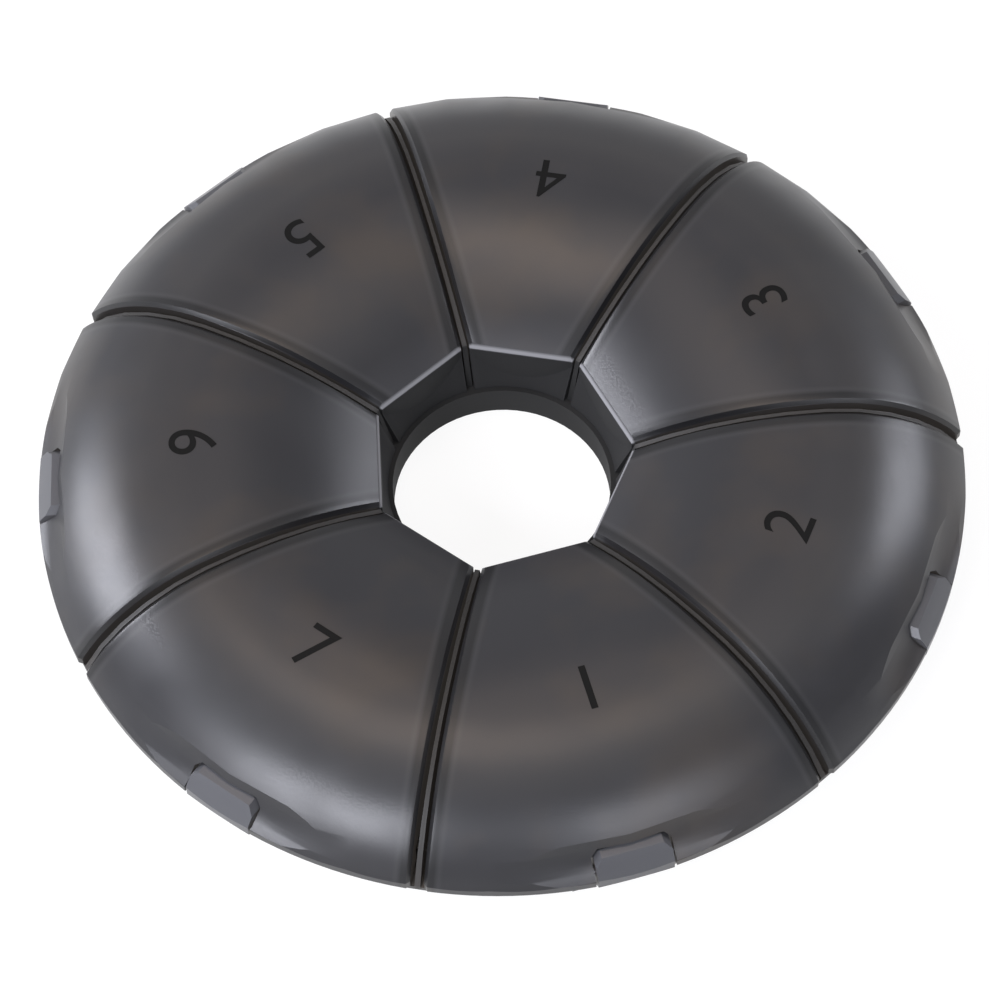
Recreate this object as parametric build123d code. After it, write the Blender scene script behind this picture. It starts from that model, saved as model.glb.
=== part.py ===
from build123d import *
import os
from math import acos, asin, atan, cos, degrees, hypot, pi, radians, sin, tan

# Weekly pill box: a ring-shaped tray of cells round a finger hole, with domed lids hinged at the rim.
# Millimetres. The origin is the centre of the flat underside, +Z is up, and lid 1 points along -Y.

# Overall form
lid_count = 7
rim_diameter = 105.0
bore_diameter = 25.0
overall_height = 16.8
parting_height = 7.0
inner_edge_height = 10.8
inner_edge_apothem = 13.6
tube_height = 4.2

# Dome of the lids: flat at the crown, an arc down to the rim and an arc down to the straight inner edge
shoulder_width = 16.0
skirt_height = 1.0
shoulder_strips = 6
shoulder_chords = 4
crown_chords = 3

# Lids
lid_wall = 1.2
lid_gap_at_hub = 1.0
lid_gap_at_rim = 1.5
lid_seat_gap = 0.1
lid_tube_setback = 0.5
inner_wall_flare = 0.3
top_edge_chamfer = 0.4
rim_corner_chamfer = 0.4

# Tray
lid_overhang = 4.1
side_lean = 3.4
tray_floor = 1.3
tray_wall = 1.2
tube_wall = 1.8
lip_height = 1.5

# Dividers between the cells
divider_top_thickness = 0.4
divider_root_thickness = 0.8
divider_drop = 0.8
divider_end_drop = 0.3
divider_end_setback = 0.1
divider_rim_inset = 0.4
divider_foot_drop = 0.8
divider_chords = 5

# Rests under the lids' corners, one at the rim end of each divider
rest_width = 5.0
rest_edge_thickness = 0.6
rest_root_depth = 4.0

# Hinge at the middle of each lid's rim
hinge_inset = 2.1
pin_diameter = 1.4
pin_running_gap = 0.05
pin_recess = 0.2
lug_width = 8.4
lug_rise = 3.3
lug_top_reach = 0.7
lug_inner_reach = 1.6
lug_inner_rise = 1.8
lug_chin_depth = 0.1
lug_heel_reach = 0.8
lug_heel_depth = 1.7
lug_root_depth = 4.0
lug_corner_chamfer = 0.8
lug_side_gap = 0.25
knuckle_diameter = 2.9
knuckle_foot_width = 2.2
knuckle_length = 2.4
snap_opening = 1.1
swing_gap = 0.3

# Scoop in the shoulder of each lid, round the lug
scoop_radius = 7.0
scoop_top_inset = 3.1
scoop_top_rise = 4.7
scoop_foot_reach = 0.1

# Cutting shapes run past what they cut by this much
overrun = 5.0

# Angles in degrees
upright = 90.0
crown_arc_sweep = 45.0
notch_slope = 45.0

rim_radius = rim_diameter / 2
bore_radius = bore_diameter / 2
crown_radius = rim_radius - shoulder_width
tray_rim_radius = rim_radius - lid_overhang
foot_radius = tray_rim_radius - side_lean
tube_outer_radius = bore_radius + tube_wall
half_pitch = pi / lid_count
skirt_top = parting_height + skirt_height
lip_top = parting_height + lip_height
base_level = -overrun
inner_vertex_radius = inner_edge_apothem / cos(half_pitch)

# The lids' sides run a little off the seams, so the gap is narrow at the hub
seam_slope = atan((lid_gap_at_rim - lid_gap_at_hub) / 2 / (rim_radius - inner_vertex_radius))
side_angle = half_pitch - seam_slope
side_offset = lid_gap_at_hub / 2 * cos(seam_slope) - inner_vertex_radius * sin(seam_slope)

hinge_radius = rim_radius - hinge_inset
pin_radius = pin_diameter / 2
knuckle_radius = knuckle_diameter / 2
lug_top = parting_height + lug_rise
notch_radius = hypot(lug_top_reach, lug_rise) + swing_gap
cheek_inner = lug_width / 2 + lug_side_gap
cheek_outer = cheek_inner + knuckle_length
rest_top = parting_height - lid_seat_gap
rest_radius = rim_radius - divider_rim_inset


def arc_radius(span, fall):
    """The radius of an arc that leaves a level line and falls by this much over this span."""
    return (span**2 + fall**2) / (2 * fall)


shoulder_radius = arc_radius(rim_radius - crown_radius, overall_height - skirt_top)
crown_line = crown_radius * cos(half_pitch)
crown_arc_radius = arc_radius(crown_line - inner_edge_apothem, overall_height - inner_edge_height)


def block(x, y, z):
    """A box between pairs of limits."""
    sizes = (x[1] - x[0], y[1] - y[0], z[1] - z[0])
    return Pos(x[0], y[0], z[0]) * Box(*sizes, align=(Align.MIN, Align.MIN, Align.MIN))


def drum(radius, bottom=base_level, top=overall_height + overrun):
    """A cylinder on the box's axis."""
    return Pos(0, 0, bottom) * Cylinder(radius, top - bottom, align=(Align.CENTER, Align.CENTER, Align.MIN))


def prism(outline, start=-rim_radius, end=rim_radius):
    """An outline drawn as distance and height, extruded across from start to end."""
    return Pos(0, end, 0) * extrude(Plane.XZ * make_face(outline), end - start)


def round_bar(radius, start, end, axis_radius=hinge_radius, axis_height=parting_height):
    """A cylinder parallel to the hinge axis, from start to end across the lid's centreline."""
    bar = Cylinder(radius, end - start, align=(Align.CENTER, Align.CENTER, Align.MIN))
    return Pos(axis_radius, start, axis_height) * Rot(-upright, 0, 0) * bar


def arc_points(centre, radius, first, last, chords):
    """Points on an arc between two angles, for a run of equal chords."""
    angles = [radians(first + (last - first) * step / chords) for step in range(chords + 1)]
    return [(centre[0] + radius * cos(angle), centre[1] + radius * sin(angle)) for angle in angles]


def fan(strip):
    """One strip turned to each of the shoulder's directions, and what all of them share."""
    step = degrees(2 * half_pitch) / shoulder_strips
    directions = [step * (index - (shoulder_strips - 1) / 2) for index in range(shoulder_strips)]
    shared = Rot(0, 0, directions[0]) * strip
    for direction in directions[1:]:
        shared = shared & Rot(0, 0, direction) * strip
    return shared


def shoulder_strip():
    """Everything under a straight run of the shoulder: level at the crown, and an arc down past the rim."""
    centre = (crown_radius, overall_height - shoulder_radius)
    foot = (crown_radius + shoulder_radius, centre[1])
    bottom = centre[1] - overrun
    outline = CenterArc(centre, shoulder_radius, 0, upright) + Polyline(
        (crown_radius, overall_height), (0, overall_height), (0, bottom), (foot[0], bottom), foot
    )
    return prism(outline)


def dome_outside():
    """Everything under the dome of one lid: a fan of shoulder strips, and one arc down to the inner edge."""
    crown_centre = (crown_line, overall_height - crown_arc_radius)
    crown_foot = arc_points(crown_centre, crown_arc_radius, upright, upright + crown_arc_sweep, 1)[1]
    bottom = min(crown_foot[1], 0) - overrun
    crown = CenterArc(crown_centre, crown_arc_radius, upright, crown_arc_sweep) + Polyline(
        crown_foot,
        (crown_foot[0], bottom),
        (rim_radius, bottom),
        (rim_radius, overall_height),
        (crown_line, overall_height),
    )
    return fan(shoulder_strip()) & prism(crown)


def dome_inside():
    """The hollow of one lid, one wall under the dome, with flats along the arcs."""
    ceiling = overall_height - lid_wall
    rim_angle = degrees(acos((rim_radius - crown_radius) / shoulder_radius))
    shoulder_centre = (crown_radius, overall_height - shoulder_radius)
    arc = arc_points(shoulder_centre, shoulder_radius - lid_wall, upright, rim_angle, shoulder_chords)
    wall = rim_radius - lid_wall
    inside_arc = [point for point in arc if point[0] < wall]
    skirt_corner = (wall, skirt_top - lid_wall / 2)
    outer_corners = [skirt_corner, (wall, base_level)]
    shoulder = Polyline((0, base_level), (0, ceiling), *inside_arc, *outer_corners, close=True)
    crown_centre = (crown_line, overall_height - crown_arc_radius)
    edge_angle = upright + degrees(asin((crown_line - inner_edge_apothem - lid_wall) / crown_arc_radius))
    arc = arc_points(crown_centre, crown_arc_radius - lid_wall, edge_angle, upright, crown_chords)
    foot = bore_radius + lid_tube_setback + lid_wall
    rim_side = [(rim_radius, ceiling), (rim_radius, base_level)]
    crown = Polyline((foot, base_level), (foot, tube_height), *arc, *rim_side, close=True)
    return fan(prism(shoulder)) & prism(crown)


def wedge(side_inset=0):
    """The sector of one lid between its two sides, which can be moved in by side_inset."""
    apex = (side_offset + side_inset) / sin(side_angle)
    reach = rim_radius + overrun
    corners = [
        (apex, 0),
        (apex + reach * cos(side_angle), reach * sin(side_angle)),
        (apex + reach, 0),
        (apex + reach * cos(side_angle), -reach * sin(side_angle)),
    ]
    return extrude(make_face(Polyline(*corners, close=True)), overall_height + overrun)


def hub():
    """The space round the finger hole: a cone from the tube up, cut off by the lid's straight inner edge."""
    foot = bore_radius + lid_tube_setback
    flare = (inner_vertex_radius + inner_wall_flare - foot) / (inner_edge_height - tube_height)
    top = overall_height + overrun
    rise = top - tube_height
    cone = Cone(foot, foot + flare * rise, rise, align=(Align.CENTER, Align.CENTER, Align.MIN))
    side = block((-rim_radius, inner_edge_apothem), (-rim_radius, rim_radius), (base_level, top))
    return (drum(foot, base_level, tube_height) + Pos(0, 0, tube_height) * cone) & side


def seam_edges(body):
    """The edges where the dome meets the two side walls, and the straight inner edge."""
    chosen = []
    for edge in body.edges():
        middle = edge.position_at(0.5)
        side = abs(middle.Y) * cos(side_angle) - middle.X * sin(side_angle) + side_offset
        on_side = abs(side) < top_edge_chamfer / 4
        on_inner_edge = abs(middle.X - inner_edge_apothem) < top_edge_chamfer / 4
        level = abs(edge.tangent_at(0.5).Z) < cos(half_pitch)
        if level and middle.Z > skirt_top and (on_side or on_inner_edge):
            chosen.append(edge)
    return chosen


def lid_outside():
    """The outside of one lid, solid, with its corners and top edges eased."""
    body = dome_outside() & wedge() & drum(rim_radius)
    body = body - hub()
    upright_edges = body.edges().filter_by(Axis.Z)
    corners = [edge for edge in upright_edges if hypot(edge.center().X, edge.center().Y) > tray_rim_radius]
    body = chamfer(corners, rim_corner_chamfer)
    return chamfer(seam_edges(body), top_edge_chamfer)


def scoop_bar(side):
    """Half of the scoop: a trough in the shoulder along the strip next to the lid's centreline."""
    foot = Vector(rim_radius + scoop_foot_reach, 0, skirt_top)
    top = Vector(rim_radius - scoop_top_inset, 0, parting_height + scoop_top_rise)
    chord = foot - top
    outward = Vector(-chord.Z, 0, chord.X).normalized()
    centre = (top + foot) / 2 + outward * (scoop_radius**2 - (chord.length / 2) ** 2) ** 0.5
    bar = round_bar(scoop_radius, -rim_radius, rim_radius, centre.X, centre.Z)
    return Rot(0, 0, side * degrees(half_pitch) / shoulder_strips) * bar


def slot_outline(reach):
    """The side view of the slot round the lug, its walls at least this far from the hinge axis."""
    back = hinge_radius - reach
    ceiling = parting_height + reach
    corner = reach * tan(radians(notch_slope / 2))
    return Polyline(
        (back, base_level),
        (back, parting_height + corner),
        (hinge_radius - corner, ceiling),
        (rim_diameter, ceiling),
        (rim_diameter, base_level),
        close=True,
    )


def front_outline(width, top):
    """The front view of the lug or of its slot, with the two top corners cut off."""
    plate = Pos(0, (top + base_level) / 2) * Rectangle(width, top - base_level)
    return chamfer(plate.vertices().sort_by(Axis.Y)[-2:], lug_corner_chamfer)


def knuckle_outline():
    """The side view of a cheek's foot round the pin."""
    half_foot = knuckle_foot_width / 2
    return Polyline(
        (hinge_radius - knuckle_radius, parting_height + skirt_height / 2),
        (hinge_radius - knuckle_radius, parting_height),
        (hinge_radius - half_foot, parting_height - knuckle_radius),
        (hinge_radius + half_foot, parting_height - knuckle_radius),
        (hinge_radius + knuckle_radius, parting_height),
        (hinge_radius + knuckle_radius, parting_height + skirt_height / 2),
        close=True,
    )


def make_lid():
    """One lid, its centreline along +X: a domed skin, a skirt, side walls, an inner wall and a hinge hood."""
    outside = lid_outside() - scoop_bar(-1) - scoop_bar(1)
    inside = dome_inside() & wedge(lid_wall)
    across = (-rim_radius, rim_radius)
    above_parting = block((0, rim_diameter), across, (parting_height, overall_height + overrun))
    inner_wall_back = bore_radius + lid_tube_setback + lid_wall
    inner_wall_zone = block((0, inner_wall_back), across, (tube_height + lid_seat_gap, parting_height))
    lip_room = drum(tray_rim_radius + swing_gap, 0, lip_top + swing_gap)
    lip_room = lip_room - drum(side_radius(parting_height) - tray_wall - swing_gap)
    shell = (outside - inside) & (above_parting + inner_wall_zone) - lip_room

    hood = prism(slot_outline(notch_radius + lid_wall), -cheek_outer, cheek_outer) & outside & above_parting
    hood = hood - block((0, tray_rim_radius + swing_gap), across, (0, lip_top + swing_gap))
    knuckles = prism(knuckle_outline(), -cheek_outer, cheek_outer)
    slot_front = front_outline(2 * cheek_inner, parting_height + notch_radius)
    slot = prism(slot_outline(notch_radius), -cheek_inner, cheek_inner)
    slot = slot & extrude(Plane.YZ * slot_front, rim_diameter)
    snap_sides = (hinge_radius - snap_opening / 2, hinge_radius + snap_opening / 2)
    snap = block(snap_sides, (-cheek_outer, cheek_outer), (0, parting_height))
    return shell + hood + knuckles - slot - snap - round_bar(pin_radius, -cheek_outer, cheek_outer)


def make_pin():
    """The pin through the lug, that both cheeks snap on to: a little short of the cheeks' outer faces."""
    return round_bar(pin_radius, pin_recess - cheek_outer, cheek_outer - pin_recess)


def lid_direction(index):
    """The direction of a lid's centreline, counter-clockwise from +X: lid 1 points along -Y."""
    return 2 * degrees(half_pitch) * index - upright


def side_radius(height):
    """The radius of the tray's flared side at a height."""
    return foot_radius + (tray_rim_radius - foot_radius) * height / lip_top


def tray_ring():
    """The tray without its dividers and lugs: flat foot, flared side up to the lip, and finger tube."""
    outside = Polyline(
        (tube_outer_radius, 0),
        (foot_radius, 0),
        (tray_rim_radius, lip_top),
        (tube_outer_radius, lip_top),
        close=True,
    )
    tube = Polyline(
        (bore_radius, 0),
        (tube_outer_radius, 0),
        (tube_outer_radius, tube_height),
        (bore_radius, tube_height),
        close=True,
    )
    flare = degrees(atan((tray_rim_radius - foot_radius) / lip_top))
    seam_turn = lid_direction(0) + degrees(half_pitch)
    floor_radius = side_radius(tray_floor) - tray_wall
    side_count = lid_count * shoulder_strips
    floor_outline = RegularPolygon(floor_radius, side_count, major_radius=False, rotation=seam_turn)
    hollow = extrude(Pos(0, 0, tray_floor) * floor_outline, lip_top + overrun - tray_floor, taper=-flare)
    ring = revolve(Plane.XZ * make_face(outside), Axis.Z) - hollow
    return ring + revolve(Plane.XZ * make_face(tube), Axis.Z)


def wall_middle(height):
    """The radius of the middle of the tray's side wall at a height."""
    return side_radius(height) - tray_wall / 2


def make_divider():
    """One divider on the +X line: a drafted rib whose top follows the dome of the lids out to the rim."""
    top_level = overall_height - divider_drop
    first_radius = inner_vertex_radius + divider_end_setback
    first_level = inner_edge_height - divider_end_drop
    crown_arc = arc_radius(crown_radius - first_radius, top_level - first_level)
    first_angle = degrees(acos((first_radius - crown_radius) / crown_arc))
    crown = arc_points((crown_radius, top_level - crown_arc), crown_arc, first_angle, upright, divider_chords)
    shoulder_arc = shoulder_radius - divider_drop
    last_angle = degrees(acos((rest_radius - crown_radius) / shoulder_arc))
    centre = (crown_radius, overall_height - shoulder_radius)
    shoulder = arc_points(centre, shoulder_arc, upright, last_angle, divider_chords)
    fin_base = min(rest_top, shoulder[-1][1]) - rest_edge_thickness / 2
    tube_middle = bore_radius + tube_wall / 2
    outline = Polyline(
        *crown,
        *shoulder[1:],
        (rest_radius, fin_base),
        (wall_middle(fin_base), fin_base),
        (wall_middle(tray_floor / 2), tray_floor / 2),
        (tube_middle, tray_floor / 2),
        (tube_middle, tube_height - divider_foot_drop),
        close=True,
    )
    half_root = divider_root_thickness / 2
    half_top = divider_top_thickness / 2
    section = Polyline(
        (-half_root, 0), (half_root, 0), (half_top, overall_height), (-half_top, overall_height), close=True
    )
    return extrude(Plane.YZ * make_face(section), rim_radius) & prism(outline)


def make_rest():
    """One rest on the +X line: a bracket outside the tray's wall that the corners of two lids close on."""
    root = parting_height - rest_root_depth
    side = Polyline(
        (wall_middle(rest_top), rest_top),
        (wall_middle(root), root),
        (rest_radius, rest_top - rest_edge_thickness),
        (rest_radius, rest_top),
        close=True,
    )
    return prism(side, -rest_width / 2, rest_width / 2)


def make_lug():
    """One hinge lug on the +X line: it rises from the rim lip and fills the slot of the lid."""
    root = parting_height - lug_root_depth
    chin = parting_height - lug_chin_depth
    outer = rim_radius + overrun
    side = Polyline(
        (hinge_radius - lug_top_reach, lug_top),
        (hinge_radius - lug_inner_reach, parting_height + lug_inner_rise),
        (wall_middle(lip_top), lip_top),
        (wall_middle(root), root),
        (hinge_radius + lug_heel_reach, parting_height - lug_heel_depth),
        (rim_radius, chin),
        (outer, chin),
        (outer, lug_top),
        close=True,
    )
    front = extrude(Plane.YZ * front_outline(lug_width, lug_top), outer)
    lug = prism(side) & front & drum(rim_radius) & shoulder_strip()
    return lug - round_bar(pin_radius + pin_running_gap, -lug_width, lug_width)


def make_tray():
    """The tray in one piece: a divider and a rest at each seam, and a lug at the middle of each lid's rim."""
    tray = tray_ring()
    divider = make_divider() + make_rest()
    lug = make_lug()
    for index in range(lid_count):
        tray = tray + Rot(0, 0, lid_direction(index) + degrees(half_pitch)) * divider
        tray = tray + Rot(0, 0, lid_direction(index)) * lug
    return tray


os.makedirs("parts", exist_ok=True)
export_step(make_tray(), "parts/base_tray.step")
lid = make_lid()
pin = make_pin()
for index in range(lid_count):
    turn = Rot(0, 0, lid_direction(index))
    export_step(turn * lid, f"parts/lid_{index + 1}.step")
    export_step(turn * pin, f"parts/hinge_pin_{index + 1}.step")
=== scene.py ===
from math import cos, pi, radians, sin

import bpy
from mathutils import Matrix, Vector


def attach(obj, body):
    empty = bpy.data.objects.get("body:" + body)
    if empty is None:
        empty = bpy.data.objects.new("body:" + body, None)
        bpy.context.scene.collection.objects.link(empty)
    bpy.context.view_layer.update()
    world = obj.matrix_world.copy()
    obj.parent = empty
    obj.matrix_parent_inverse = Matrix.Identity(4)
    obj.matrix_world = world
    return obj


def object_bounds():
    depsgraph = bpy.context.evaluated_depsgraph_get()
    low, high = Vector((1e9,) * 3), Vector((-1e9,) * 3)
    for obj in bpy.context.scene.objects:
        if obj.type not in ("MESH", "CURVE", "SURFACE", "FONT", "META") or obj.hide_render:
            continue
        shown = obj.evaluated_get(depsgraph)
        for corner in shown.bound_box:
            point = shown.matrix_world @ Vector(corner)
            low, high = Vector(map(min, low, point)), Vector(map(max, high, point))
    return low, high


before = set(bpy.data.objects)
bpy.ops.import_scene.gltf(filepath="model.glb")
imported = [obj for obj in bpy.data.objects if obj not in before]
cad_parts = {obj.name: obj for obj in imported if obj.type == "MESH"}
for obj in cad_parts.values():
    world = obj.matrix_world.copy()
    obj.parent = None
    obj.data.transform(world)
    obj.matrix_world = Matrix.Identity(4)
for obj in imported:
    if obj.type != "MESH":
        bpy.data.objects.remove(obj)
cad_low, cad_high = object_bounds()

# Blender works in metres and this object's sizes are in millimetres
mm = 0.001

# Sizes of the box that the looks are laid out on
lid_count = 7
half_pitch = pi / lid_count
rim_radius = 52.5 * mm
top_height = cad_high.z
parting_height = 7 * mm
tray_lip_top = 8.5 * mm
inner_edge_apothem = 13.6 * mm
inner_edge_height = 10.8 * mm
half_seam = 0.65 * mm
lid_wall = 1.2 * mm
light_ring_radius = 40.5 * mm
slot_middle_radius = 49.4 * mm
slot_half_depth = 2.4 * mm
lug_root_radius = 46 * mm
lug_from_seam = 9 * mm


def linear(hex_colour):
    """An sRGB hex colour such as "4a4a4e" as the linear values that a shader reads."""
    shares = [int(hex_colour[start:start + 2], 16) / 255 for start in (0, 2, 4)]
    return (*[s / 12.92 if s <= 0.04045 else ((s + 0.055) / 1.055) ** 2.4 for s in shares], 1.0)


def add_node(tree, kind, inputs=None, **settings):
    """One shader node with its settings. Each input is a number, a colour or another node's output."""
    node = tree.nodes.new("ShaderNode" + kind)
    for name, value in settings.items():
        setattr(node, name, value)
    for name, value in (inputs or {}).items():
        if isinstance(value, bpy.types.NodeSocket):
            tree.links.new(value, node.inputs[name])
        else:
            node.inputs[name].default_value = value
    return node


def new_material(name):
    """An empty node material, its tree, its output node and the object's own coordinates."""
    material = bpy.data.materials.new(name)
    material.use_nodes = True
    tree = material.node_tree
    tree.nodes.clear()
    output = add_node(tree, "OutputMaterial")
    return material, tree, output, add_node(tree, "TexCoord").outputs["Object"]


def region(tree, *edges, full=1.0):
    """How much of a region's look a point gets, from none outside it to its full share inside. Each
    edge is a measure, its value where the region ends and its value where it is full."""
    share = full
    for measure, ends, filled in edges:
        inside = add_node(tree, "MapRange", {"Value": measure, "From Min": ends, "From Max": filled})
        both = {0: share, 1: inside.outputs[0]}
        share = add_node(tree, "Math", both, operation="MULTIPLY").outputs[0]
    return share


def off_line(tree, measure, line):
    """How far a measure is from one value, to either side."""
    difference = add_node(tree, "Math", {0: measure, 1: line}, operation="SUBTRACT").outputs[0]
    return add_node(tree, "Math", {0: difference}, operation="ABSOLUTE").outputs[0]


def tones(tree, base, *layers):
    """A base colour with others laid over it in turn, each by its share."""
    colour = linear(base)
    for share, tone in layers:
        mix = add_node(tree, "Mix", {0: share, 6: colour, 7: linear(tone)}, data_type="RGBA")
        colour = mix.outputs[2]
    return colour


def patches(tree, place, size, lowest, highest, start=0.3, end=0.7, detail=2.0):
    """A value that wanders between two limits in soft patches of about this size. The noise behind it
    seldom leaves 0.3 to 0.7, and a later start leaves more of the surface at the lowest value."""
    settings = {"Vector": place, "Scale": 1 / size, "Detail": detail, "Roughness": 0.55}
    noise = add_node(tree, "TexNoise", settings).outputs[0]
    limits = {"From Min": start, "From Max": end, "To Min": lowest, "To Max": highest}
    return add_node(tree, "MapRange", {"Value": noise} | limits).outputs[0]


def facing_up(tree):
    """How far the piece's own surface faces up, from 1 on its top to 0 on its sides."""
    normal = add_node(tree, "TexCoord").outputs["Normal"]
    return add_node(tree, "SeparateXYZ", {0: normal}).outputs["Z"]


def place_in_lid(tree, place):
    """A point's distance from the box's centre, its angle off the middle of its lid, and its height."""
    x, y, height = add_node(tree, "SeparateXYZ", {0: place}).outputs
    # Lid 1 is centred on -Y, so the angle is taken from there and wrapped into one lid
    ahead = add_node(tree, "Math", {0: y, 1: -1.0}, operation="MULTIPLY").outputs[0]
    angle = add_node(tree, "Math", {0: x, 1: ahead}, operation="ARCTAN2").outputs[0]
    limits = {0: angle, 1: half_pitch, 2: -half_pitch}
    wrapped = add_node(tree, "Math", limits, operation="WRAP").outputs[0]
    off_middle = add_node(tree, "Math", {0: wrapped}, operation="ABSOLUTE").outputs[0]
    flat = add_node(tree, "CombineXYZ", {"X": x, "Y": y}).outputs[0]
    radius = add_node(tree, "VectorMath", {0: flat}, operation="LENGTH").outputs["Value"]
    return radius, off_middle, height


def from_side(tree, radius, off_middle):
    """How far a point is inside the nearer side of its lid. It is below 0 in the seam."""
    angle = add_node(tree, "Math", {0: half_pitch, 1: off_middle}, operation="SUBTRACT").outputs[0]
    sine = add_node(tree, "Math", {0: angle}, operation="SINE").outputs[0]
    product = {0: radius, 1: sine, 2: -half_seam}
    return add_node(tree, "Math", product, operation="MULTIPLY_ADD").outputs[0]


def from_inner_edge(tree, radius, off_middle):
    """How far a point is outside the straight inner edge of its lid."""
    cosine = add_node(tree, "Math", {0: off_middle}, operation="COSINE").outputs[0]
    product = {0: radius, 1: cosine, 2: -inner_edge_apothem}
    return add_node(tree, "Math", product, operation="MULTIPLY_ADD").outputs[0]


def flow_clouds(tree, place):
    """Faint clouds as wide as a finger, where the pigment flowed unevenly into the mould."""
    return patches(tree, place, 16 * mm, 0.0, 1.0, start=0.5, end=0.72, detail=3.0)


def smoky_shader(tree, output, place, colour, see_through, glow, matt, easing=None):
    """The plastic itself: grey pigment that some light gets through, and a wide satin gloss, uneven in
    patches the size of a fingertip, that goes matt where little light comes in. The glow stands in for
    light that spreads inside the plastic, and keeps the narrow gaps from going black."""
    satin = patches(tree, place, 9 * mm, 0.3, 0.38, detail=3.0)
    dull = add_node(tree, "MapRange", {"Value": matt, "To Min": 0.3, "To Max": 0.85}).outputs[0]
    roughness = add_node(tree, "Math", {0: satin, 1: dull}, operation="MAXIMUM").outputs[0]
    # A satin mould's grain is about 0.05 mm wide, and is drawn five times as coarse to show at all
    grain = patches(tree, place, 0.25 * mm, 0.0, 1.0, start=0.0, end=1.0)
    surface = {"Height": grain, "Distance": 0.02 * mm, "Strength": 0.05}
    if easing is not None:
        surface["Normal"] = easing
    settings = {
        "Base Color": colour,
        "IOR": 1.49,
        "Roughness": roughness,
        "Transmission Weight": see_through,
        "Emission Color": linear("524d49"),
        "Emission Strength": glow,
        "Normal": add_node(tree, "Bump", surface).outputs[0],
    }
    shader = add_node(tree, "BsdfPrincipled", settings)
    tree.links.new(shader.outputs[0], output.inputs["Surface"])


def lid_plastic():
    """Smoky polypropylene, injection moulded in a satin mould: neutral grey with faint warm clouds.
    Painted light makes it a little lighter in a ring on the shoulder and toward the finger hole, and a
    painted highlight runs along its thin inner edge. Painted shade darkens its wall round the hole, and
    a dark band of painted shade, with a fine painted light line beside it, lies where the side walls
    stand under the skin."""
    material, tree, output, place = new_material("smoky_satin_polypropylene")
    upward = facing_up(tree)
    radius, off_middle, height = place_in_lid(tree, place)
    side = from_side(tree, radius, off_middle)
    inner = from_inner_edge(tree, radius, off_middle)

    # Each tone and the region that it lies in
    off_ring = off_line(tree, radius, light_ring_radius)
    # Painted light: the shoulder is a little lighter in a ring
    painted_light_ring = region(tree, (off_ring, 6 * mm, 0.0), full=0.5)
    # Painted light: a little lighter toward the finger hole
    painted_light_near_hole = region(tree, (inner, 4 * mm, 0.0), full=0.5)
    # Painted shade: a dark band over where the side walls stand under the skin
    painted_shade_band = region(tree, (side, lid_wall + 0.5 * mm, lid_wall - 0.1 * mm), full=0.75)
    # Painted light: a fine light line just past the dark band
    off_band = off_line(tree, side, lid_wall + 0.4 * mm)
    painted_light_line = region(tree, (off_band, 0.5 * mm, 0.0), full=0.18)
    # Painted shade: the wall round the hole is nearly black
    shaded_hole_wall = region(tree, (upward, 0.65, 0.4), (inner, 2 * mm, 1 * mm))
    # Painted highlight: a bright line along the thin inner edge
    edge_bottom = inner_edge_height - 0.6 * mm
    over_edge = (height, edge_bottom, edge_bottom + 0.25 * mm)
    inner_edge_highlight = region(tree, (inner, 0.35 * mm, 0.15 * mm), over_edge, full=0.9)
    colour = tones(
        tree,
        "323235",
        (flow_clouds(tree, place), "3f3a37"),
        (painted_light_ring, "484645"),
        (painted_light_near_hole, "4a4a4d"),
        (painted_shade_band, "18181a"),
        (painted_light_line, "5a5a5b"),
        (shaded_hole_wall, "121213"),
        (inner_edge_highlight, "929295"),
    )

    # The skin rounds off over its last 0.8 mm at the seams
    short = region(tree, (side, 0.8 * mm, 0.0))
    fall = add_node(tree, "Math", {0: short, 1: short}, operation="MULTIPLY").outputs[0]
    rise = add_node(tree, "Math", {0: 1.0, 1: fall}, operation="SUBTRACT").outputs[0]
    easing = add_node(tree, "Bump", {"Height": rise, "Distance": 0.08 * mm, "Strength": 1.0})

    # Only the upright walls of the seams and of the slots beside the lugs glow, and not the skin
    upright = (upward, 0.2, 0.1)
    seam_edges = (inner, 0.2 * mm, 0.8 * mm), (side, lid_wall - 0.1 * mm, lid_wall - 0.3 * mm)
    seam_wall = region(tree, upright, *seam_edges, full=0.2)
    off_slot = off_line(tree, radius, slot_middle_radius)
    in_slot = (off_slot, slot_half_depth + 0.1 * mm, slot_half_depth - 0.1 * mm)
    slot_wall = region(tree, upright, in_slot, full=0.2)
    glow = add_node(tree, "Math", {0: seam_wall, 1: slot_wall}, operation="MAXIMUM").outputs[0]

    dimmed = {"Value": shaded_hole_wall, "To Min": 0.4, "To Max": 0.05}
    see_through = add_node(tree, "MapRange", dimmed).outputs[0]
    smoky_shader(tree, output, place, colour, see_through, glow, shaded_hole_wall, easing.outputs[0])
    return material


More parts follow.
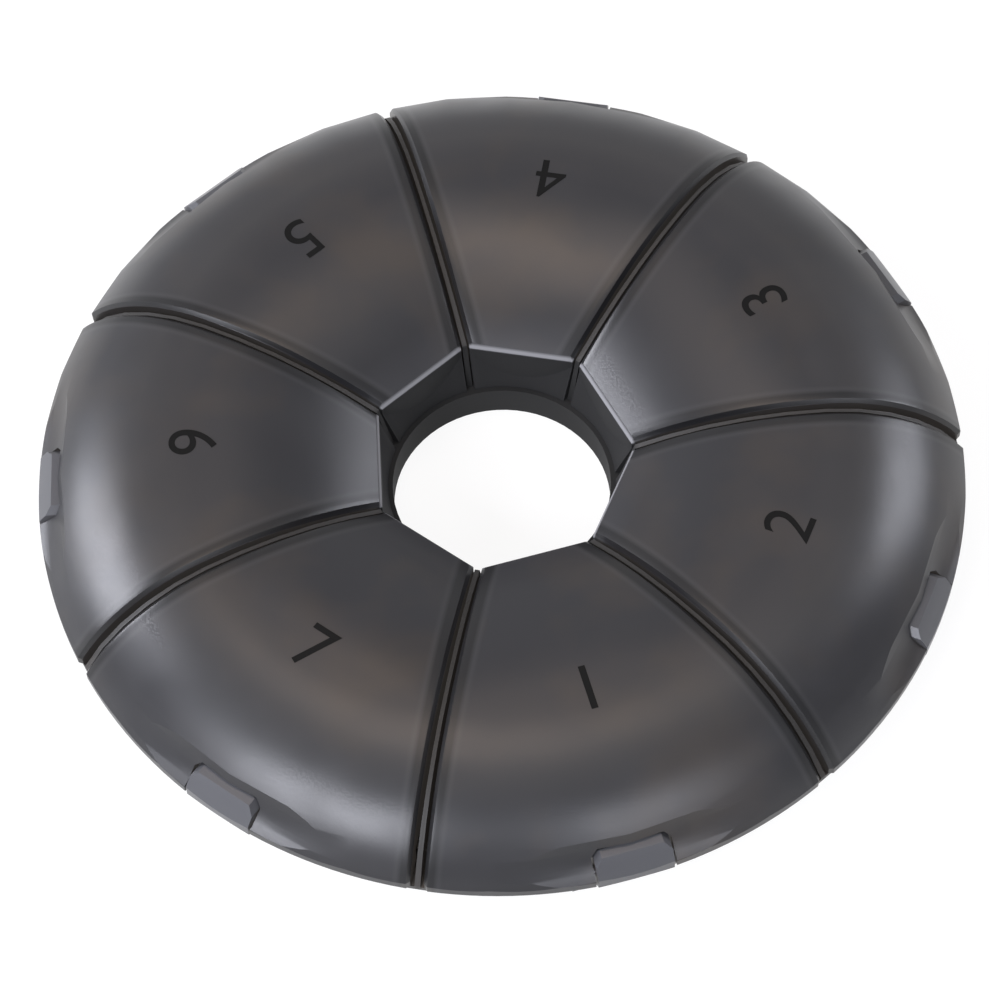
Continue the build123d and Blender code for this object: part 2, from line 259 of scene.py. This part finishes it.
def tray_plastic():
    """The same polypropylene in the tray: painted shade makes it nearly black in the tube round the
    hole, where little light gets in, painted light makes it a little lighter and warmer between the
    lids and a shade less so on the dividers' top faces, and it is lightest in the solid hinge lugs."""
    material, tree, output, place = new_material("smoky_tray_polypropylene")
    upward = facing_up(tree)
    radius, off_middle, height = place_in_lid(tree, place)
    side = from_side(tree, radius, off_middle)

    # The tube's look takes in the ends of the dividers that meet it
    tube_end = inner_edge_apothem + 1.5 * mm
    past_tube = tube_end + 1 * mm
    # Painted shade: the tube round the hole is nearly black
    tube = region(tree, (radius, past_tube, tube_end))
    between_edges = (height, parting_height - 3 * mm, parting_height), (radius, tube_end, past_tube)
    # Painted light: lighter and warmer between the lids, so that the seams do not go black
    painted_light_between_lids = region(tree, *between_edges)
    divider_edges = (*between_edges, (side, 0.0, -half_seam))
    # The dividers' top faces get a shade less of the painted light between the lids
    over_lip = (height, tray_lip_top + 0.1 * mm, tray_lip_top + 0.3 * mm)
    divider_top_painted_light = region(tree, (upward, 0.5, 0.7), over_lip)
    lug_edges = (
        (radius, lug_root_radius, lug_root_radius + 0.5 * mm),
        (side, lug_from_seam, lug_from_seam + 1 * mm),
        (height, parting_height - 0.2 * mm, parting_height),
    )
    lug = region(tree, *lug_edges)
    colour = tones(
        tree,
        "2c2c2e",
        (flow_clouds(tree, place), "312f2e"),
        (tube, "141414"),
        (painted_light_between_lids, "383533"),
        (divider_top_painted_light, "302f2e"),
        (lug, "5a5b5f"),
    )

    # The dividers and the sides of the lugs glow a little, and the tube and the dividers look matt
    divider_glow = region(tree, *divider_edges, full=0.1)
    lug_glow = region(tree, *lug_edges, (upward, 0.4, 0.2), full=0.15)
    glow = add_node(tree, "Math", {0: divider_glow, 1: lug_glow}, operation="MAXIMUM").outputs[0]
    matt_divider = region(tree, *divider_edges, full=0.6)
    matt = add_node(tree, "Math", {0: tube, 1: matt_divider}, operation="MAXIMUM").outputs[0]

    dimmed = {"Value": tube, "To Min": 0.3, "To Max": 0.05}
    see_through = add_node(tree, "MapRange", dimmed).outputs[0]
    smoky_shader(tree, output, place, colour, see_through, glow, matt)
    return material


def drawn_steel():
    """Plain steel wire, drawn through a die: bright, with a slightly uneven gloss."""
    material, tree, output, place = new_material("drawn_steel_wire")
    gloss = patches(tree, place, 0.4 * mm, 0.25, 0.4, detail=3.0)
    settings = {"Base Color": linear("9a9a9e"), "Metallic": 1.0, "Roughness": gloss}
    shader = add_node(tree, "BsdfPrincipled", settings)
    tree.links.new(shader.outputs[0], output.inputs["Surface"])
    return material


def printed_ink():
    """Pad-printing ink: black, duller than the plastic under it, and faintly uneven from the pad."""
    material, tree, output, place = new_material("black_pad_print_ink")
    gloss = patches(tree, place, 0.3 * mm, 0.5, 0.65)
    settings = {"Base Color": linear("060606"), "Specular IOR Level": 0.15, "Roughness": gloss}
    shader = add_node(tree, "BsdfPrincipled", settings)
    tree.links.new(shader.outputs[0], output.inputs["Surface"])
    return material


# Faces that meet at less than this angle are shaded as one, once their corners are joined
smooth_angle = radians(15)
weld_distance = 0.002 * mm


def dress(node_name, material):
    """Gives a CAD node its material, and shades its rounded faces smooth with its edges kept sharp."""
    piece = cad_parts[node_name]
    piece.data.materials.clear()
    piece.data.materials.append(material)
    # Normals that came with the mesh would win over the shading below
    if "custom_normal" in piece.data.attributes:
        piece.data.attributes.remove(piece.data.attributes["custom_normal"])
    piece.data.shade_smooth()
    weld = piece.modifiers.new("joined_faces", "WELD")
    weld.merge_threshold = weld_distance
    split = piece.modifiers.new("sharp_edges", "EDGE_SPLIT")
    split.split_angle = smooth_angle


lid_material = lid_plastic()
tray_material = tray_plastic()
steel_material = drawn_steel()
ink_material = printed_ink()

dress("base_tray", tray_material)
for number in range(1, lid_count + 1):
    dress(f"lid_{number}", lid_material)
    dress(f"hinge_pin_{number}", steel_material)

# Print: one plain number on each lid, its top toward the finger hole
label_radius = 34.5 * mm
label_height = 5.6 * mm
ink_depth = 0.08 * mm
ink_proud = 0.02 * mm
# A figure of the plain font stands this share of the font's size tall
font_capital_share = 0.73


def print_number(number):
    """A number printed on its lid, read from outside the box with the finger hole at the top."""
    direction = 2 * half_pitch * (number - 1) - pi / 2
    letters = bpy.data.curves.new(f"lid_number_{number}", "FONT")
    letters.body = str(number)
    letters.align_x = "CENTER"
    letters.align_y = "CENTER"
    letters.size = label_height / font_capital_share
    letters.extrude = ink_depth / 2
    letters.materials.append(ink_material)
    text = bpy.data.objects.new(f"lid_number_{number}", letters)
    bpy.context.scene.collection.objects.link(text)
    level = top_height + ink_proud - ink_depth / 2
    text.location = (label_radius * cos(direction), label_radius * sin(direction), level)
    text.rotation_euler = (0, 0, direction + pi / 2)
    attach(text, f"lid_body_{number}")


for number in range(1, lid_count + 1):
    print_number(number)

# Camera at the photograph's place, fitted to the rim, the finger hole and the seams
camera_azimuth = radians(-104.17)
camera_elevation = radians(58.85)
camera_distance = 7 * rim_radius
camera_roll = radians(-2.03)
sensor = 36.0
focal_pixels = 3228
picture_pixels = 990
centre_right_pixels = 6.3
centre_up_pixels = 25.0

camera_data = bpy.data.cameras.new("camera")
camera = bpy.data.objects.new("camera", camera_data)
bpy.context.scene.collection.objects.link(camera)
bpy.context.scene.camera = camera
camera_data.sensor_width = sensor
camera_data.lens = sensor * focal_pixels / picture_pixels
camera_data.shift_x = -centre_right_pixels / picture_pixels
camera_data.shift_y = -centre_up_pixels / picture_pixels
camera_data.clip_start = 10 * mm
camera_data.clip_end = 10
toward_camera = Vector((
    cos(camera_azimuth) * cos(camera_elevation),
    sin(camera_azimuth) * cos(camera_elevation),
    sin(camera_elevation),
))
camera.location = Vector((0, 0, parting_height)) + toward_camera * camera_distance
camera.rotation_mode = "QUATERNION"
level_view = (-toward_camera).to_track_quat("-Z", "Y")
camera.rotation_quaternion = level_view @ Matrix.Rotation(camera_roll, 3, "Z").to_quaternion()


def softbox(name, azimuth, elevation, distance, width, height, watts, colour):
    """A rectangular lamp that faces the box."""
    lamp_data = bpy.data.lights.new(name, "AREA")
    lamp_data.shape = "RECTANGLE"
    lamp_data.color = linear(colour)[:3]
    lamp_data.size = width
    lamp_data.size_y = height
    lamp_data.energy = watts
    lamp = bpy.data.objects.new(name, lamp_data)
    bpy.context.scene.collection.objects.link(lamp)
    turn = camera_azimuth + radians(azimuth)
    rise = radians(elevation)
    away = Vector((cos(turn) * cos(rise), sin(turn) * cos(rise), sin(rise)))
    lamp.location = away * distance
    lamp.rotation_mode = "QUATERNION"
    lamp.rotation_quaternion = (-away).to_track_quat("-Z", "Y")


# Each softbox's azimuth counter-clockwise from the camera's and its elevation, both in degrees, its
# distance, width and height in metres, its watts and its colour
flash_white = "f3f5ff"
ceiling_white = "ffe4cf"
softboxes = (
    ("left_softbox", -106, 26, 1.0, 0.38, 0.5, 9.7, flash_white),
    ("right_softbox", 115, 28, 1.0, 0.35, 0.45, 4.4, flash_white),
    ("front_left_softbox", -42, 34, 1.0, 0.6, 0.35, 10, flash_white),
    ("front_softbox", 26, 36, 1.0, 0.5, 0.4, 3.4, flash_white),
    ("ceiling_softbox", -150, 80, 0.6, 0.25, 0.3, 0.6, ceiling_white),
)
for measures in softboxes:
    softbox(*measures)


def seen_directly(tree):
    """1 for the rays that show the background to the camera, in a mirror or through glass, else 0."""
    path = add_node(tree, "LightPath").outputs
    indirect = {0: path["Is Glossy Ray"], 1: path["Is Transmission Ray"]}
    passed_on = add_node(tree, "Math", indirect, operation="MAXIMUM").outputs[0]
    kinds = {0: path["Is Camera Ray"], 1: passed_on}
    return add_node(tree, "Math", kinds, operation="MAXIMUM").outputs[0]


def studio():
    """A room that is pale near the ground, greyer up its walls, paler again behind the box, and white
    overhead. It lights the box half as brightly as it looks."""
    world = bpy.data.worlds.new("studio")
    bpy.context.scene.world = world
    world.use_nodes = True
    tree = world.node_tree
    tree.nodes.clear()
    heading = add_node(tree, "TexCoord").outputs["Generated"]
    _, back, up = add_node(tree, "SeparateXYZ", {0: heading}).outputs
    shade = tones(
        tree,
        "cacacc",
        (region(tree, (up, 0.1, 0.4)), "8c8c8e"),
        (region(tree, (back, 0.45, 0.75)), "d2d2d4"),
        (region(tree, (up, 0.8, 1.0)), "ffffff"),
    )
    levels = {"Value": seen_directly(tree), "To Min": 0.5, "To Max": 1.0}
    strength = add_node(tree, "MapRange", levels).outputs[0]
    background = add_node(tree, "Background", {"Color": shade, "Strength": strength}).outputs[0]
    add_node(tree, "OutputWorld", {"Surface": background})


def pale_floor():
    """A smooth white table top under the box. It has a glow of its own, which keeps it white round the
    box, in reflections and through the plastic, and lights nothing."""
    material, tree, output, place = new_material("white_table_top")
    gloss = patches(tree, place, 50 * mm, 0.75, 0.85)
    settings = {"Base Color": linear("6c6c6c"), "Specular IOR Level": 0.2, "Roughness": gloss}
    top = add_node(tree, "BsdfPrincipled", settings).outputs[0]
    strength = region(tree, (seen_directly(tree), 0.0, 1.0), full=0.88)
    glow = add_node(tree, "Emission", {"Color": linear("ffffff"), "Strength": strength}).outputs[0]
    both = add_node(tree, "AddShader", {0: top, 1: glow}).outputs[0]
    tree.links.new(both, output.inputs["Surface"])
    reach = 3.0
    corners = [(-reach, -reach, 0), (reach, -reach, 0), (reach, reach, 0), (-reach, reach, 0)]
    mesh = bpy.data.meshes.new("floor")
    mesh.from_pydata(corners, [], [(0, 1, 2, 3)])
    mesh.materials.append(material)
    floor = bpy.data.objects.new("floor", mesh)
    # A hair under the foot, so that the two faces never share a level
    floor.location.z = cad_low.z - 0.05 * mm
    bpy.context.scene.collection.objects.link(floor)


studio()
pale_floor()
bpy.context.scene.view_settings.view_transform = "Standard"
